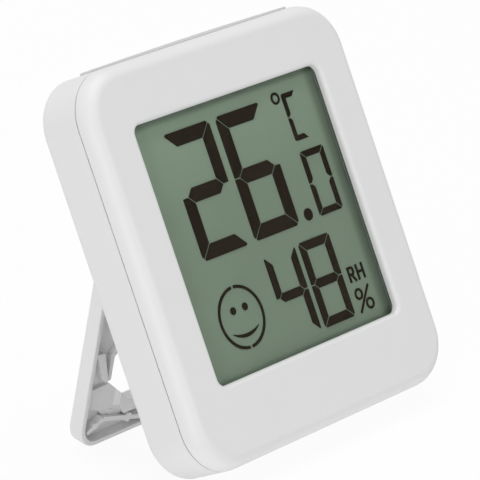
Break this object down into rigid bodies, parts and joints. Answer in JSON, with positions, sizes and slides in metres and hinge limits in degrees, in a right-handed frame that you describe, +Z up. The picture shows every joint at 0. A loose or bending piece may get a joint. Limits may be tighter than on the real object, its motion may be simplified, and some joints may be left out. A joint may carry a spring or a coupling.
{
  "type": "digital thermometer and hygrometer",
  "caption": "White desktop room thermometer and hygrometer with a large recessed liquid-crystal display, leaning back on a fold-out kickstand, with a sliding battery cover.",
  "frame": {"origin": "on the table under the middle of the overall bounding box", "axes": "+Z up from the table, +Y from the display towards the kickstand, +X to the right of someone who looks at the display; the case leans back 24.9 degrees about X"},
  "size_m": [0.0608, 0.0362, 0.0619],
  "materials": {
    "case_plastic": "white, fine satin moulding texture",
    "cover_plastic": "white, fine satin moulding texture",
    "stand_plastic": "white, fine satin moulding texture",
    "button_plastic": "white, satin",
    "polariser_film": "satin film",
    "display_glass": "polished",
    "display_seal": "cured resin",
    "display_figures": "dark liquid crystal, switched on",
    "display_reflector": "grey-green reflecting film",
    "holder_plastic": "moulded",
    "connector_rubber": "layered silicone rubber",
    "board_laminate": "green solder mask",
    "resin": "cured black resin drop",
    "sensor_body": "moulded package",
    "capacitor_ceramic": "fired ceramic",
    "resistor_ceramic": "fired ceramic",
    "switch_body": "moulded package",
    "cell_steel": "nickel-plated, satin",
    "nickel_plate": "nickel-plated spring sheet",
    "screw_steel": "zinc-plated"
  },
  "bodies": {
    "case": {"front_bezel": "case_plastic", "rear_housing": "case_plastic", "front_polariser": "polariser_film", "front_glass": "display_glass", "display_seal": "display_seal", "display_segments": "display_figures", "rear_glass": "display_glass", "reflector": "display_reflector", "display_holder": "holder_plastic", "connector_strip": "connector_rubber", "main_board": "board_laminate", "display_controller": "resin", "climate_sensor": "sensor_body", "clock_crystal": "nickel_plate", "capacitors": "capacitor_ceramic", "resistors": "resistor_ceramic", "unit_switch": "switch_body", "coin_cell": "cell_steel", "negative_contact": "nickel_plate", "positive_contact": "nickel_plate", "case_screws": "screw_steel", "board_screws": "screw_steel"},
    "cover": {"battery_cover": "cover_plastic"},
    "button": {"unit_button": "button_plastic"},
    "stand": {"kickstand": "stand_plastic"}
  },
  "joints": [
    {"name": "kickstand_hinge", "type": "hinge", "parent": "case", "child": "stand", "pos_m": [0, 0.00549, 0.03309], "axis": [1, 0, 0], "range_deg": [-37, 0]},
    {"name": "battery_cover_slide", "type": "slide", "parent": "case", "child": "cover", "axis": [0, 0.4214, 0.9069], "range_m": [0, 0.0035]},
    {"name": "unit_button_press", "type": "slide", "parent": "case", "child": "button", "axis": [0, -0.9069, 0.4214], "range_m": [0, 0.00028], "stiffness_N_per_m": 800}
  ]
}
